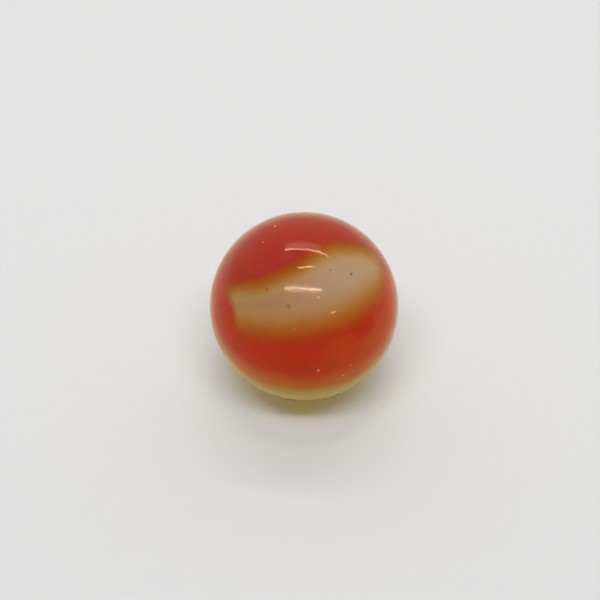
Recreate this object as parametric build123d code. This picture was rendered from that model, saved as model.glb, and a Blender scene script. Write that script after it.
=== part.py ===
from build123d import *
from build123d.topology import SkipClean
import os
from math import cos, radians, sin

os.makedirs("parts", exist_ok=True)

# Glass marble: one solid ball of coloured glass, in millimetres and degrees.
# The origin is the centre of the ball and +Z is up, as the ball lay when seen.
# A place on the ball is (east, north): east turns from the front (-Y) to +X,
# and north rises from the equator to the top (+Z).

# The ball
BALL_DIAMETER = 16.0

# The milky window in the red glass: the place of its middle, the turn of its
# long axis from due east, and the angles that it spans at the ball's centre
WINDOW_EAST = 18.0
WINDOW_NORTH = 56.0
WINDOW_TURN = 3.0
WINDOW_LENGTH_ANGLE = 116.0
WINDOW_WIDTH_ANGLE = 56.0

# The window's outline, seen from straight above its middle, in shares of its
# half length and half width: blunt to the west, swelling to the north-east
WINDOW_OUTLINE = [
    (-0.99, 0.26),
    (-0.93, 0.80),
    (-0.69, 0.71),
    (-0.45, 0.70),
    (-0.20, 0.75),
    (0.03, 0.90),
    (0.27, 1.00),
    (0.50, 0.95),
    (0.73, 0.80),
    (0.90, 0.50),
    (0.98, 0.06),
    (0.90, -0.40),
    (0.69, -0.75),
    (0.44, -0.90),
    (0.15, -1.01),
    (-0.17, -1.02),
    (-0.49, -0.92),
    (-0.73, -0.75),
    (-0.92, -0.50),
    (-0.99, -0.16),
]

# The clear base glass: a cap under the red, with a circle round the ball as edge
BASE_EDGE_NORTH = -11.0

# Open bubbles in the skin: (east, north, width of the mouth, depth)
BUBBLES = [
    (-13.4, 46.3, 0.36, 0.09),
    (56.3, 55.1, 0.28, 0.08),
    (-37.0, 51.7, 0.30, 0.05),
    (13.1, 51.6, 0.26, 0.06),
    (22.8, 41.2, 0.30, 0.05),
    (8.2, 5.9, 0.20, 0.05),
    (28.8, 3.1, 0.18, 0.04),
    (-133.6, 65.5, 0.20, 0.05),
]

# How far the solids that divide the colours stand out of the ball
CUT_ROOM = 1.0

ball_radius = BALL_DIAMETER / 2


def direction(east, north):
    """Unit vector from the centre of the ball to a place on its skin."""
    east_angle = radians(east)
    north_angle = radians(north)
    return Vector(
        cos(north_angle) * sin(east_angle),
        -cos(north_angle) * cos(east_angle),
        sin(north_angle),
    )


def make_ball():
    """The plain ball, turned from a half disc, its turning seam at the back."""
    axis_line = Line((0, -ball_radius), (0, ball_radius))
    arc = ThreePointArc((0, ball_radius), (ball_radius, 0), (0, -ball_radius))
    half_disc = Plane.YZ * make_face([axis_line, arc])
    return revolve(half_disc, Axis.Z, 360)


def make_bubble(east, north, mouth, depth):
    """The round hollow of an open bubble, sized by its mouth and its depth."""
    mouth_radius = mouth / 2
    bubble_radius = (mouth_radius**2 + depth**2) / (2 * depth)
    outward = direction(east, north)
    centre = outward * (ball_radius - depth + bubble_radius)
    return Plane(origin=centre, z_dir=outward) * Sphere(bubble_radius)


def make_base_block():
    """Block that holds all of the ball below the edge of the base glass."""
    block_side = 2 * (ball_radius + CUT_ROOM)
    edge_height = ball_radius * sin(radians(BASE_EDGE_NORTH))
    block = Box(block_side, block_side, block_side, align=(Align.CENTER, Align.CENTER, Align.MAX))
    return Pos(0, 0, edge_height) * block


def make_window_prism():
    """Prism with the window's outline, from the ball's centre out past its skin."""
    east_angle = radians(WINDOW_EAST)
    due_east = Vector(cos(east_angle), sin(east_angle), 0)
    outward = direction(WINDOW_EAST, WINDOW_NORTH)
    plane = Plane(origin=(0, 0, 0), x_dir=due_east, z_dir=outward)
    plane = plane.rotated((0, 0, WINDOW_TURN))
    half_length = ball_radius * sin(radians(WINDOW_LENGTH_ANGLE / 2))
    half_width = ball_radius * sin(radians(WINDOW_WIDTH_ANGLE / 2))
    points = [(x * half_length, y * half_width) for x, y in WINDOW_OUTLINE]
    outline = plane * make_face(Spline(*points, periodic=True))
    return extrude(outline, ball_radius + CUT_ROOM, dir=outward)


def make_marble():
    """The marble as one solid, with the edges of its three colours in its skin."""
    ball = make_ball() - [make_bubble(*bubble) for bubble in BUBBLES]
    block = make_base_block()
    prism = make_window_prism()
    # Divided and fused again without a clean, the one solid keeps the edges.
    with SkipClean():
        base_glass = ball & block
        upper_glass = ball - block
        milky_glass = upper_glass & prism
        red_glass = upper_glass - prism
        return red_glass.fuse(milky_glass, base_glass)


marble = make_marble()
marble.label = "marble"
export_step(marble, "parts/marble.step")
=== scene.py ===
from math import cos, hypot, radians, sin

import bmesh
import bpy
from mathutils import Matrix, Vector


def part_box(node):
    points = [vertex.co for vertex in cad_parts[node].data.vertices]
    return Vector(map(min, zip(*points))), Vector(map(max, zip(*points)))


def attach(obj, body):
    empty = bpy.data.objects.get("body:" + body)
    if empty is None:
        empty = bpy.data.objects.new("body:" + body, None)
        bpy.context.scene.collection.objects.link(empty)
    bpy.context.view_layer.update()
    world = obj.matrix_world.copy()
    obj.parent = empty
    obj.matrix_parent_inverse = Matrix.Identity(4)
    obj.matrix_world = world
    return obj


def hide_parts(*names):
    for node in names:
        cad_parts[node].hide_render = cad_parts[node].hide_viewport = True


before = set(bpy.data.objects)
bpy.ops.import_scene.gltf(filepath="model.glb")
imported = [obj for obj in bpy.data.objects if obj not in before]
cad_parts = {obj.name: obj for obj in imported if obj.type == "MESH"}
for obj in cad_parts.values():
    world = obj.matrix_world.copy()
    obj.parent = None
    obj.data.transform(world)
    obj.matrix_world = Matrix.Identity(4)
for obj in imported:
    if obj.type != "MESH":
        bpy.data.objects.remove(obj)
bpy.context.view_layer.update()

# Glass marble, in metres, in the frame of the CAD ball: the origin is its centre.
# A place on the ball is (east, north): east turns from the front (-Y) to +X,
# and north rises from the equator to the top (+Z).
MM = 0.001
ball_low, ball_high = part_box("marble")
BALL_RADIUS = (ball_high.z - ball_low.z) / 2
X_AXIS = (1.0, 0.0, 0.0)
Y_AXIS = (0.0, 1.0, 0.0)
Z_AXIS = (0.0, 0.0, 1.0)

# Camera: a 100 mm lens looking down on the ball from the front
LENS_MM = 100.0
SENSOR_MM = 36.0
CAMERA_ELEVATION = 47.0
CAMERA_DISTANCE = 141.1 * MM
NEAREST_SEEN = 5 * MM
AIM_LEFT = 0.34 * MM
AIM_UP = 0.526 * MM

# Studio: a white box, brighter at its back, with strips of light in its roof.
# A strip is (name, middle x, middle y, length, width, turn, lamps, watts, colour),
# in mm and degrees. Some strips light the ball and the floor but aren't mirrored in
# the glass, and others are only mirrored in it.
ROOF_HEIGHT = 600.0 * MM
STRIPS = [
    ("front_row", -2.0, -242.0, 531.0, 50.0, -3.2, 18, 1.15, (0.95, 1.05, 1.28)),
    ("front_glow", -2.0, -250.0, 600.0, 160.0, -3.2, 0, 1.50, (0.90, 1.0, 1.2)),
    ("front_light", -2.0, -242.0, 531.0, 60.0, -3.2, 0, 1.65, (0.97, 0.98, 1.0)),
    ("front_panel", -12.0, -180.0, 523.0, 110.0, -3.2, 0, 0.95, (1.0, 1.0, 1.0)),
    ("rear_row", 24.0, 332.0, 534.0, 50.0, -9.6, 20, 0.85, (1.0, 0.98, 1.22)),
    ("rear_glow", -20.0, 425.0, 520.0, 260.0, -8.0, 0, 0.60, (0.75, 0.90, 1.0)),
    ("rear_light", 24.0, 332.0, 534.0, 30.0, -9.6, 0, 0.80, (1.0, 0.97, 1.0)),
    ("short_row", 23.0, 48.0, 192.0, 17.0, 7.0, 0, 0.28, (1.0, 0.96, 0.62)),
]
ONLY_LIGHTS = ("front_light", "front_panel", "rear_light")
ONLY_MIRRORED = ("front_row", "front_glow", "rear_row", "rear_glow")

# The jagged line of light that a strip with lamps keeps, in shares of its width
LINE_HALF_WIDTH = 0.20
LINE_SWING = 0.28
LINE_SOFTNESS = 0.04

# The shares of a glow's length and width over which it fades at each edge
GLOW_END_FADE = 0.2
GLOW_SIDE_FADE = 0.5

# The amber lamp inside the ball, for the light that the base glass lets through
GLASS_LIGHT = 0.00011
GLASS_LIGHT_COLOUR = (1.0, 0.64, 0.0)
GLASS_LIGHT_DEPTH = 4 * MM
GLASS_LIGHT_SIZE = 6.0

# The box's light to the front and to the back, and the plain level that is seen
BOX_FRONT = 0.36
BOX_BACK = 0.95
BOX_BACK_FROM = 0.7
BOX_SEEN = 0.75

# The floor, with painted shading that makes it a little paler to the back
FLOOR_COLOUR = (0.706, 0.706, 0.715, 1.0)
FLOOR_SLOPE = 0.04
FLOOR_DARK_TO = -45 * MM
FLOOR_PALE_FROM = 60 * MM
FLOOR_SIZE = 4.0

# Open bubbles in the skin: (east, north, width of the mouth, depth) in mm, and a
# tone from -1, dark, to 1, pale, where the pale end is a painted glint
BUBBLES = [
    (-13.4, 46.3, 0.36, 0.09, -0.45),
    (56.3, 55.1, 0.28, 0.08, -0.50),
    (-37.0, 51.7, 0.30, 0.05, -0.38),
    (13.1, 51.6, 0.26, 0.06, 0.42),
    (22.8, 41.2, 0.30, 0.05, 0.0),
    (8.2, 5.9, 0.20, 0.05, 0.70),
    (28.8, 3.1, 0.18, 0.04, 0.40),
    (-133.6, 65.5, 0.20, 0.05, 0.55),
]

# Specks and scratches with no depth: (east, north, length, width, turn, tone), pale ones painted
# glints
SPECKS = [
    (-68.2, 22.7, 0.60, 0.10, 80.0, -0.80),
    (-65.7, 11.9, 0.22, 0.14, 0.0, -0.60),
    (-23.2, 35.0, 0.50, 0.12, 5.0, -0.35),
    (22.8, 41.2, 0.46, 0.15, 5.0, 0.58),
    (37.5, 64.5, 0.20, 0.14, 90.0, -0.45),
    (110.0, 39.9, 0.30, 0.16, 40.0, -0.60),
    (-169.0, 67.5, 0.24, 0.14, 0.0, -0.45),
    (-6.9, 33.5, 0.20, 0.14, 90.0, 0.30),
    (23.7, -3.2, 0.22, 0.16, 0.0, 0.40),
    (-97.5, 64.9, 0.22, 0.16, 0.0, 0.35),
]

# Past this depth in mm a bubble's tone is a ring round its mouth, which when dark is
# painted shade round the hollow, else a dot. Both are in shares of the mark's half width.
DOT_DEPTH = 0.085
RING_MIDDLE = 0.85
RING_REACH = 0.45
DOT_EDGE = 1.3
DOT_FADE = 0.5

# How finely the skin is cut, and how far round a mark, in mm
SPHERE_STEPS = 7
FINE_STEPS = 2
FINE_MARGIN = 0.5
FINE_MARGIN_STEP = 0.12
ROUNDED_REACH = 1.5

# The milky window: its middle, and its edges north and south of a line due east
# through the middle, as (place along the line, distance), in shares of the radius
WINDOW_EAST = 18.0
WINDOW_NORTH = 58.0
WINDOW_TOP = [
    (-0.90, 0.34),
    (-0.78, 0.33),
    (-0.60, 0.265),
    (-0.40, 0.27),
    (-0.20, 0.295),
    (0.00, 0.38),
    (0.20, 0.44),
    (0.40, 0.43),
    (0.60, 0.385),
    (0.73, 0.32),
    (0.86, 0.12),
]
WINDOW_BOTTOM = [
    (-0.90, 0.18),
    (-0.75, 0.27),
    (-0.60, 0.365),
    (-0.40, 0.425),
    (-0.20, 0.455),
    (0.00, 0.465),
    (0.20, 0.44),
    (0.40, 0.37),
    (0.60, 0.28),
    (0.75, 0.14),
    (0.90, 0.06),
]
WINDOW_WEST_END = -0.84
WINDOW_EAST_END = 0.88

# Where the window fades in from each side, and on its own side of the ball
TOP_FADE = (-0.04, 0.02)
BOTTOM_FADE = (-0.10, -0.01)
WEST_FADE = (WINDOW_WEST_END - 0.03, WINDOW_WEST_END + 0.04)
EAST_FADE = (WINDOW_EAST_END, WINDOW_EAST_END - 0.24)
OUTWARD_FADE = (0.0, 0.2)

# Inside the window: from west to east, from each fringe to the milk, and from the
# top fringe to the bottom one. A fringe's place is its distance in, scaled.
MILK_FADE = (-0.55, 0.35)
TOP_MILK_FADE = (0.15, 0.30)
BOTTOM_MILK_FADE = (0.20, 0.38)
FRINGES_MEET = (-0.05, 0.05)
TOP_FRINGE_SCALE = 4.0
BOTTOM_FRINGE_SCALE = 2.86
BOTTOM_FRINGE_START = 0.14

# The red: from the upper red to the lower, which is brighter as painted light, clouds and
# blushes of other reds with their shares, the orange side and the deep spot
LOWER_FADE = (0.75, 0.25)
UPPER_FADE = (0.4, 0.8)
ORANGE_MIDDLE = (70.0, -5.0)
ORANGE_FADE = (0.3, 0.9)
ORANGE_SHARE = 0.8
CLOUD_FADE = (0.0, 0.14)
CLOUD_SHARE = 0.25
SPOT_MIDDLE = (42.1, 26.5)
SPOT_FADE = (0.980, 0.998)
SPOT_SHARE = 0.9
BLUSH_FADE = (-0.05, 0.12)
BLUSH_SHARE = 0.7

# The base: its edge as a share of the radius, wavy, and higher at the sides
BASE_EDGE = -0.12
BASE_WAVES = 0.12
BASE_SIDES = -0.09
AMBER_FADE = (BASE_EDGE + 0.22, BASE_EDGE - 0.06)
OLIVE_FADE = (BASE_EDGE - 0.02, BASE_EDGE - 0.26)

# Soft random fields: the number of waves to a radius, and how far they push edges
WANDER_SCALE = 2.2
RIPPLE_SCALE = 6.0
RIPPLE_ALONG = 0.05
RIPPLE_ACROSS = 0.04

# Colours of the glass
RED_UPPER = (0.352, 0.029, 0.018, 1.0)
RED_CRIMSON = (0.362, 0.022, 0.030, 1.0)
# The lower red: more orange, and brighter as painted light against the shade of the underside
RED_LOWER_PAINTED_LIGHT = (0.485, 0.022, 0.001, 1.0)
RED_ORANGE = (0.520, 0.058, 0.002, 1.0)
RED_DEEP = (0.460, 0.008, 0.001, 1.0)
MILK_WEST = (0.392, 0.222, 0.142, 1.0)
MILK_EAST = (0.424, 0.312, 0.245, 1.0)
FRINGE_TOP = [
    (0.00, (0.345, 0.045, 0.004, 1.0)),
    (0.14, (0.340, 0.067, 0.006, 1.0)),
    (0.26, (0.335, 0.100, 0.012, 1.0)),
    (0.44, (0.345, 0.150, 0.030, 1.0)),
    (0.64, (0.385, 0.220, 0.085, 1.0)),
    (0.84, (0.410, 0.265, 0.135, 1.0)),
]
FRINGE_BOTTOM = [
    (0.03, (0.450, 0.033, 0.002, 1.0)),
    (0.17, (0.425, 0.058, 0.005, 1.0)),
    (0.31, (0.415, 0.098, 0.013, 1.0)),
    (0.46, (0.410, 0.140, 0.028, 1.0)),
    (0.60, (0.410, 0.182, 0.055, 1.0)),
    (0.74, (0.420, 0.225, 0.094, 1.0)),
    (0.91, (0.425, 0.255, 0.142, 1.0)),
]
# Olive base glass, brighter than its own colour as painted light for what the clear base gathers
OLIVE_AND_PAINTED_GLOW = (0.460, 0.345, 0.045, 1.0)
AMBER = (0.490, 0.130, 0.003, 1.0)
# Dark marks, and the pale colour of painted glints on bubbles and scratches
DARK_TONE = (0.060, 0.030, 0.020, 1.0)
PAINTED_GLINT = (0.950, 0.640, 0.440, 1.0)

# Polish of the skin, and how light travels in the glass
SKIN_ROUGHNESS = 0.06
MARK_ROUGHNESS = 0.25
ROUGH_FROM_TONE = 0.5
SKIN_WAVES = 30.0
SKIN_WAVE_HEIGHT = 0.0004 * MM
GLASS_IOR = 1.33
SHINE_TINT = (1.0, 0.68, 0.46, 1.0)
COAT_IOR = 1.1
COAT_TINT = (1.0, 0.95, 0.75, 1.0)
GLOW_DEPTH = 8 * MM
GLOW_DEPTH_BY_COLOUR = (1.0, 0.7, 0.25)


def direction(east, north):
    """Unit vector from the centre of the ball to a place on its skin."""
    east_angle = radians(east)
    north_angle = radians(north)
    return Vector((
        cos(north_angle) * sin(east_angle),
        -cos(north_angle) * cos(east_angle),
        sin(north_angle),
    ))


def eastward(east):
    """Unit vector due east, along the skin, at a place on the ball."""
    return Vector((cos(radians(east)), sin(radians(east)), 0))


def add_camera():
    """The camera, aimed a little left of the ball's centre and above it."""
    elevation = radians(CAMERA_ELEVATION)
    toward = Vector((0, -cos(elevation), sin(elevation)))
    right = Vector((1, 0, 0))
    up = toward.cross(right)
    data = bpy.data.cameras.new("camera")
    data.lens = LENS_MM
    data.sensor_width = SENSOR_MM
    data.clip_start = NEAREST_SEEN
    camera = bpy.data.objects.new("camera", data)
    place = toward * CAMERA_DISTANCE - right * AIM_LEFT + up * AIM_UP
    turn = Matrix((right, up, toward)).transposed().to_4x4()
    camera.matrix_world = Matrix.Translation(place) @ turn
    bpy.context.scene.collection.objects.link(camera)
    bpy.context.scene.camera = camera


def add_lamp(name, place, turn, length, width, watts, colour):
    """One flat lamp that faces down: a disc if it is as long as wide, else a strip."""
    data = bpy.data.lights.new(name, "AREA")
    data.shape = "DISK" if length == width else "RECTANGLE"
    data.size = length * MM
    data.size_y = width * MM
    data.energy = watts
    data.color = colour
    lamp = bpy.data.objects.new(name, data)
    lamp.location = place
    lamp.rotation_euler = (0, 0, turn)
    bpy.context.scene.collection.objects.link(lamp)
    return lamp


def feed(tree, socket, value):
    """Joins an output to a socket, or sets the socket to a plain value."""
    if isinstance(value, bpy.types.NodeSocket):
        tree.links.new(value, socket)
    else:
        socket.default_value = value


def calc(tree, operation, *values):
    """Result of one sum on plain values or outputs."""
    node = tree.nodes.new("ShaderNodeMath")
    node.operation = operation
    for socket, value in zip(node.inputs, values):
        feed(tree, socket, value)
    return node.outputs[0]


def product(tree, *values):
    """All the values multiplied together."""
    result = values[0]
    for value in values[1:]:
        result = calc(tree, "MULTIPLY", result, value)
    return result


def dot(tree, vector, axis):
    """Share of a vector that lies along an axis."""
    node = tree.nodes.new("ShaderNodeVectorMath")
    node.operation = "DOT_PRODUCT"
    feed(tree, node.inputs[0], vector)
    feed(tree, node.inputs[1], axis)
    return node.outputs["Value"]


def step(tree, value, low, high, at_low=0.0, at_high=1.0):
    """Soft step from one value to another, as the input goes from low to high."""
    node = tree.nodes.new("ShaderNodeMapRange")
    node.interpolation_type = "SMOOTHSTEP"
    feed(tree, node.inputs["Value"], value)
    feed(tree, node.inputs["From Min"], low)
    feed(tree, node.inputs["From Max"], high)
    feed(tree, node.inputs["To Min"], at_low)
    feed(tree, node.inputs["To Max"], at_high)
    return node.outputs["Result"]


def curve(tree, value, points):
    """Smooth curve through points, for a value from -1 to 1."""
    node = tree.nodes.new("ShaderNodeFloatCurve")
    shares = [((x + 1) / 2, y) for x, y in points]
    line = node.mapping.curves[0]
    line.points[0].location = (0.0, shares[0][1])
    line.points[1].location = (1.0, shares[-1][1])
    for x, y in shares:
        line.points.new(x, y)
    node.mapping.update()
    feed(tree, node.inputs["Value"], calc(tree, "MULTIPLY_ADD", value, 0.5, 0.5))
    return node.outputs["Value"]


def noise(tree, place, scale, detail=2.0):
    """Soft random value about zero that changes from place to place."""
    node = tree.nodes.new("ShaderNodeTexNoise")
    feed(tree, node.inputs["Vector"], place)
    node.inputs["Scale"].default_value = scale
    node.inputs["Detail"].default_value = detail
    return calc(tree, "SUBTRACT", node.outputs[0], 0.5)


def mix(tree, share, first, second):
    """First colour where the share is 0, second colour where it is 1."""
    node = tree.nodes.new("ShaderNodeMix")
    node.data_type = "RGBA"
    feed(tree, node.inputs[0], share)
    feed(tree, node.inputs[6], first)
    feed(tree, node.inputs[7], second)
    return node.outputs[2]


def palette(tree, value, stops):
    """Colours that follow each other as the value rises."""
    node = tree.nodes.new("ShaderNodeValToRGB")
    ramp = node.color_ramp
    ramp.interpolation = "B_SPLINE"
    while len(ramp.elements) < len(stops):
        ramp.elements.new(0.5)
    for element, (position, colour) in zip(ramp.elements, stops):
        element.position = position
        element.color = colour
    feed(tree, node.inputs[0], value)
    return node.outputs[0]


def open_lamp(lamp):
    """Shader of a lamp and the place on it, from 0 to 1 along it and across it."""
    lamp.data.use_nodes = True
    tree = lamp.data.node_tree
    place = tree.nodes.new("ShaderNodeNewGeometry").outputs["Parametric"]
    return tree, place


def draw_lamps(lamp, count):
    """Keeps a strip's light to a jagged line along it, with a tooth for each lamp."""
    tree, place = open_lamp(lamp)
    along = calc(tree, "MULTIPLY", dot(tree, place, X_AXIS), float(count))
    tooth = calc(tree, "MULTIPLY_ADD", calc(tree, "PINGPONG", along, 0.5), 4.0, -1.0)
    line = calc(tree, "MULTIPLY_ADD", tooth, LINE_SWING, 0.5)
    offset = calc(tree, "SUBTRACT", dot(tree, place, Y_AXIS), line)
    offset = calc(tree, "ABSOLUTE", offset)
    inner = LINE_HALF_WIDTH - LINE_SOFTNESS
    outer = LINE_HALF_WIDTH + LINE_SOFTNESS
    strength = step(tree, offset, inner, outer, 0.5 / LINE_HALF_WIDTH, 0.0)
    tree.links.new(strength, tree.nodes["Emission"].inputs["Strength"])


def soften_edges(lamp):
    """Fades a strip's light to its four edges, and keeps the watts of the whole."""
    tree, place = open_lamp(lamp)
    fades = []
    for axis, fade in ((X_AXIS, GLOW_END_FADE), (Y_AXIS, GLOW_SIDE_FADE)):
        inward = calc(tree, "PINGPONG", dot(tree, place, axis), 0.5)
        fades.append(step(tree, inward, 0.0, fade, 0.0, 1 / (1 - fade)))
    tree.links.new(product(tree, *fades), tree.nodes["Emission"].inputs["Strength"])


def add_strips():
    """The strips of light in the roof, as they light the glass and are mirrored in it."""
    for name, x, y, length, width, turn, count, watts, colour in STRIPS:
        place = Vector((x * MM, y * MM, ROOF_HEIGHT))
        lamp = add_lamp(name, place, radians(turn), length, width, watts, colour)
        lamp.visible_glossy = name not in ONLY_LIGHTS
        lamp.visible_diffuse = name not in ONLY_MIRRORED
        if count:
            draw_lamps(lamp, count)
        elif name.endswith("glow"):
            soften_edges(lamp)


def add_glass_light():
    """The amber light that the glass lets through onto the floor under it."""
    place = Vector((0, 0, -GLASS_LIGHT_DEPTH))
    size = GLASS_LIGHT_SIZE
    lamp = add_lamp("glass_light", place, 0, size, size, GLASS_LIGHT, GLASS_LIGHT_COLOUR)
    lamp.data.use_shadow = False
    lamp.data.cycles.use_multiple_importance_sampling = False


def milky_window(tree, place, ripple):
    """Share and colour of the window: milk, amber to the north, orange to the south."""
    out_axis = direction(WINDOW_EAST, WINDOW_NORTH)
    along_axis = eastward(WINDOW_EAST)
    across_axis = out_axis.cross(along_axis)
    along = dot(tree, place, along_axis)
    along = calc(tree, "ADD", along, product(tree, ripple, RIPPLE_ALONG))
    across = dot(tree, place, across_axis)
    across = calc(tree, "ADD", across, product(tree, ripple, RIPPLE_ACROSS))
    out = dot(tree, place, out_axis)

    # Distances inwards from the edges
    from_top = calc(tree, "SUBTRACT", curve(tree, along, WINDOW_TOP), across)
    from_bottom = calc(tree, "ADD", curve(tree, along, WINDOW_BOTTOM), across)
    window_share = product(
        tree,
        step(tree, from_top, *TOP_FADE),
        step(tree, from_bottom, *BOTTOM_FADE),
        step(tree, along, *WEST_FADE),
        step(tree, along, *EAST_FADE),
        step(tree, out, *OUTWARD_FADE),
    )

    milk = mix(tree, step(tree, along, *MILK_FADE), MILK_WEST, MILK_EAST)
    top_place = product(tree, from_top, TOP_FRINGE_SCALE)
    top_colour = palette(tree, top_place, FRINGE_TOP)
    top_colour = mix(tree, step(tree, from_top, *TOP_MILK_FADE), top_colour, milk)
    bottom_place = calc(tree, "MULTIPLY_ADD", from_bottom, BOTTOM_FRINGE_SCALE, BOTTOM_FRINGE_START)
    bottom_colour = palette(tree, bottom_place, FRINGE_BOTTOM)
    bottom_colour = mix(tree, step(tree, from_bottom, *BOTTOM_MILK_FADE), bottom_colour, milk)
    southward = step(tree, calc(tree, "SUBTRACT", from_top, from_bottom), *FRINGES_MEET)
    return window_share, mix(tree, southward, top_colour, bottom_colour)


def red_glass(tree, place, height, wander, ripple):
    """The red, more orange to the south and brighter there as painted light, with an orange side,
    clouds and a deep spot.
    """
    lower = step(tree, height, *LOWER_FADE)
    upper = step(tree, height, *UPPER_FADE)
    orange_side = step(tree, dot(tree, place, direction(*ORANGE_MIDDLE)), *ORANGE_FADE)
    clouds = step(tree, wander, *CLOUD_FADE)
    spot = step(tree, dot(tree, place, direction(*SPOT_MIDDLE)), *SPOT_FADE)
    blush = step(tree, ripple, *BLUSH_FADE)
    red = mix(tree, lower, RED_UPPER, RED_LOWER_PAINTED_LIGHT)
    red = mix(tree, product(tree, orange_side, lower, ORANGE_SHARE), red, RED_ORANGE)
    red = mix(tree, product(tree, clouds, lower, CLOUD_SHARE), red, RED_ORANGE)
    red = mix(tree, product(tree, spot, SPOT_SHARE), red, RED_DEEP)
    return mix(tree, product(tree, upper, blush, BLUSH_SHARE), red, RED_CRIMSON)


def red_over_base(tree, place, height, wander, red):
    """The red over the clear olive base, whose brightness is partly painted light in the shade
    below, with amber where the red thins out.
    """
    sideways = dot(tree, place, X_AXIS)
    level = calc(tree, "ADD", height, product(tree, wander, BASE_WAVES))
    level = calc(tree, "ADD", level, product(tree, sideways, sideways, BASE_SIDES))
    body = mix(tree, step(tree, level, *AMBER_FADE), red, AMBER)
    return mix(tree, step(tree, level, *OLIVE_FADE), body, OLIVE_AND_PAINTED_GLOW)


def swirl_group():
    """Node group: colour, roughness and height of the skin from a place on it."""
    tree = bpy.data.node_groups.new("swirl", "ShaderNodeTree")
    tree.interface.new_socket(name="Place", in_out="INPUT", socket_type="NodeSocketVector")
    tree.interface.new_socket(name="Mark", in_out="INPUT", socket_type="NodeSocketFloat")
    tree.interface.new_socket(name="Colour", in_out="OUTPUT", socket_type="NodeSocketColor")
    tree.interface.new_socket(name="Roughness", in_out="OUTPUT", socket_type="NodeSocketFloat")
    tree.interface.new_socket(name="Height", in_out="OUTPUT", socket_type="NodeSocketFloat")
    given = tree.nodes.new("NodeGroupInput")
    result = tree.nodes.new("NodeGroupOutput")
    place = given.outputs["Place"]
    mark = given.outputs["Mark"]
    wander = noise(tree, place, WANDER_SCALE)
    ripple = noise(tree, place, RIPPLE_SCALE)
    height = dot(tree, place, Z_AXIS)

    red = red_glass(tree, place, height, wander, ripple)
    body = red_over_base(tree, place, height, wander, red)
    window_share, window_colour = milky_window(tree, place, ripple)
    colour = mix(tree, window_share, body, window_colour)
    # Dark marks, and painted glints where a mark's tone is pale
    colour = mix(tree, step(tree, mark, 0.0, -1.0), colour, DARK_TONE)
    colour = mix(tree, step(tree, mark, 0.0, 1.0), colour, PAINTED_GLINT)
    tone = calc(tree, "ABSOLUTE", mark)
    rough = step(tree, tone, 0.0, ROUGH_FROM_TONE, SKIN_ROUGHNESS, MARK_ROUGHNESS)
    tree.links.new(colour, result.inputs["Colour"])
    tree.links.new(rough, result.inputs["Roughness"])
    tree.links.new(noise(tree, place, SKIN_WAVES, 1.0), result.inputs["Height"])
    return tree


def glass():
    """The clouded glass, lit through its skin, with its colours from the swirl."""
    material = bpy.data.materials.new("glass")
    material.use_nodes = True
    tree = material.node_tree
    surface = tree.nodes["Principled BSDF"]
    texture = tree.nodes.new("ShaderNodeTexCoord")
    scale = tree.nodes.new("ShaderNodeVectorMath")
    scale.operation = "SCALE"
    scale.inputs["Scale"].default_value = 1 / BALL_RADIUS
    tree.links.new(texture.outputs["Object"], scale.inputs[0])
    mark = tree.nodes.new("ShaderNodeAttribute")
    mark.attribute_name = "mark"
    swirl = tree.nodes.new("ShaderNodeGroup")
    swirl.node_tree = swirl_group()
    tree.links.new(scale.outputs[0], swirl.inputs["Place"])
    tree.links.new(mark.outputs["Fac"], swirl.inputs["Mark"])
    bump = tree.nodes.new("ShaderNodeBump")
    bump.inputs["Strength"].default_value = 1.0
    bump.inputs["Distance"].default_value = SKIN_WAVE_HEIGHT
    tree.links.new(swirl.outputs["Height"], bump.inputs["Height"])
    tree.links.new(swirl.outputs["Colour"], surface.inputs["Base Color"])
    tree.links.new(swirl.outputs["Roughness"], surface.inputs["Roughness"])
    tree.links.new(bump.outputs["Normal"], surface.inputs["Normal"])
    surface.inputs["IOR"].default_value = GLASS_IOR
    surface.inputs["Specular Tint"].default_value = SHINE_TINT
    surface.inputs["Coat Weight"].default_value = 1.0
    surface.inputs["Coat IOR"].default_value = COAT_IOR
    surface.inputs["Coat Roughness"].default_value = SKIN_ROUGHNESS
    surface.inputs["Coat Tint"].default_value = COAT_TINT
    surface.inputs["Subsurface Weight"].default_value = 1.0
    surface.inputs["Subsurface Radius"].default_value = GLOW_DEPTH_BY_COLOUR
    surface.inputs["Subsurface Scale"].default_value = GLOW_DEPTH
    return material


def add_box_light():
    """The white walls of the box as the world: their light, and how they look."""
    world = bpy.data.worlds.new("white_box")
    bpy.context.scene.world = world
    world.use_nodes = True
    tree = world.node_tree
    tree.nodes.clear()
    place = tree.nodes.new("ShaderNodeTexCoord").outputs["Generated"]
    backward = dot(tree, place, Y_AXIS)
    strength = step(tree, backward, 0.0, BOX_BACK_FROM, BOX_FRONT, BOX_BACK)
    box = tree.nodes.new("ShaderNodeBackground")
    tree.links.new(strength, box.inputs["Strength"])
    seen = tree.nodes.new("ShaderNodeBackground")
    seen.inputs["Strength"].default_value = BOX_SEEN
    ray = tree.nodes.new("ShaderNodeLightPath").outputs
    seen_ray = calc(tree, "MAXIMUM", ray["Is Camera Ray"], ray["Is Glossy Ray"])
    seen_ray = calc(tree, "MAXIMUM", seen_ray, ray["Is Transmission Ray"])
    choice = tree.nodes.new("ShaderNodeMixShader")
    tree.links.new(seen_ray, choice.inputs[0])
    tree.links.new(box.outputs[0], choice.inputs[1])
    tree.links.new(seen.outputs[0], choice.inputs[2])
    out = tree.nodes.new("ShaderNodeOutputWorld")
    tree.links.new(choice.outputs[0], out.inputs["Surface"])


def scaled(colour, share):
    """A colour made darker or paler by a share, with its alpha kept."""
    return tuple(share * part for part in colour[:3]) + (colour[3],)


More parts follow.
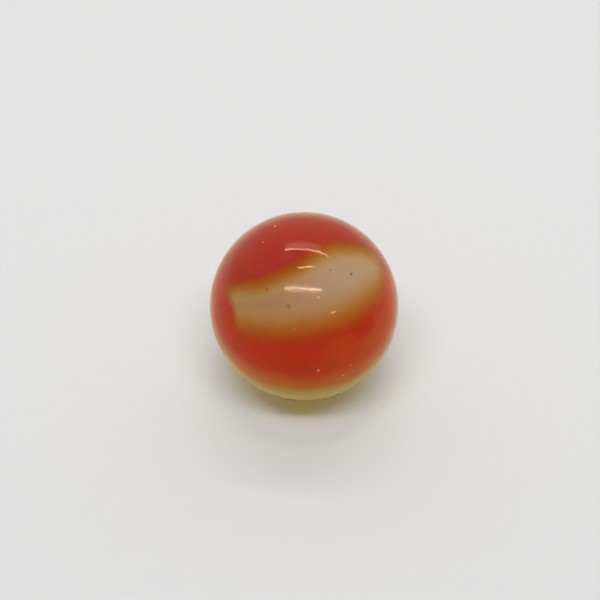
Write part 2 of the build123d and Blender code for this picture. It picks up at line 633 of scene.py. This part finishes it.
def floor_paint():
    """Matt paint, with painted shading that makes it a little paler to the back."""
    paint = bpy.data.materials.new("floor_paint")
    paint.use_nodes = True
    tree = paint.node_tree
    surface = tree.nodes["Principled BSDF"]
    place = tree.nodes.new("ShaderNodeTexCoord").outputs["Object"]
    # Painted shading: darker to the front, paler to the back
    share = step(tree, dot(tree, place, Y_AXIS), FLOOR_DARK_TO, FLOOR_PALE_FROM)
    dark = scaled(FLOOR_COLOUR, 1 - FLOOR_SLOPE)
    pale = scaled(FLOOR_COLOUR, 1 + FLOOR_SLOPE)
    tree.links.new(mix(tree, share, dark, pale), surface.inputs["Base Color"])
    surface.inputs["Roughness"].default_value = 1.0
    surface.inputs["Specular IOR Level"].default_value = 0.0
    return paint


def add_floor():
    """The pale floor, level with the ball's lowest point."""
    mesh = bpy.data.meshes.new("floor")
    shape = bmesh.new()
    bmesh.ops.create_grid(shape, x_segments=1, y_segments=1, size=FLOOR_SIZE / 2)
    shape.to_mesh(mesh)
    shape.free()
    floor = bpy.data.objects.new("floor", mesh)
    floor.location = (0, 0, -BALL_RADIUS)
    mesh.materials.append(floor_paint())
    bpy.context.scene.collection.objects.link(floor)


def refine_skin(skin, centre, reach):
    """Cuts the triangles near a place on the skin into ones of half the size."""
    near = {vertex for vertex in skin.verts if (vertex.co - centre).length < reach}
    edges = [edge for edge in skin.edges if near.issuperset(edge.verts)]
    bmesh.ops.subdivide_edges(skin, edges=edges, cuts=1, use_grid_fill=True)
    for vertex in skin.verts:
        if (vertex.co - centre).length < ROUNDED_REACH * reach:
            vertex.co = vertex.co.normalized() * BALL_RADIUS


def tone_strength(share, depth):
    """How much of a mark's tone shows at a share of its half width from its middle."""
    if depth > DOT_DEPTH:
        strength = 1 - abs(share - RING_MIDDLE) / RING_REACH
    else:
        strength = (DOT_EDGE - share) / DOT_FADE
    return min(1.0, strength)


def make_mark(skin, mark, east, north, length, width, turn, depth, tone):
    """One oval mark: its tone, and its hollow if it has a depth."""
    outward = direction(east, north)
    centre = outward * BALL_RADIUS
    for level in range(FINE_STEPS):
        reach = 0.5 * length + FINE_MARGIN - FINE_MARGIN_STEP * level
        refine_skin(skin, centre, reach * MM)
    due_east = eastward(east)
    due_north = outward.cross(due_east)
    along = due_east * cos(radians(turn)) + due_north * sin(radians(turn))
    across = outward.cross(along)
    for vertex in skin.verts:
        offset = vertex.co - centre
        if offset.length > length * MM:
            continue
        share = hypot(offset.dot(along) / length, offset.dot(across) / width) * 2 / MM
        if share < 1:
            vertex.co -= outward * depth * MM * (1 - share * share)
        strength = tone_strength(share, depth)
        if strength > 0:
            vertex[mark] = tone * strength


def add_marble():
    """The ball: a fine skin with its bubbles, specks and scratches."""
    mesh = bpy.data.meshes.new("marble_glass")
    skin = bmesh.new()
    mark = skin.verts.layers.float.new("mark")
    bmesh.ops.create_icosphere(skin, subdivisions=SPHERE_STEPS, radius=BALL_RADIUS)
    for east, north, mouth, depth, tone in BUBBLES:
        make_mark(skin, mark, east, north, mouth, mouth, 0, depth, tone)
    for east, north, length, width, turn, tone in SPECKS:
        make_mark(skin, mark, east, north, length, width, turn, 0, tone)
    bmesh.ops.triangulate(skin, faces=skin.faces)
    for face in skin.faces:
        face.smooth = True
    skin.to_mesh(mesh)
    skin.free()
    marble = bpy.data.objects.new("marble_glass", mesh)
    bpy.context.scene.collection.objects.link(marble)
    mesh.materials.append(glass())
    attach(marble, "root")
    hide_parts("marble")


bpy.context.scene.view_settings.view_transform = "Standard"
add_camera()
add_box_light()
add_strips()
add_glass_light()
add_floor()
add_marble()
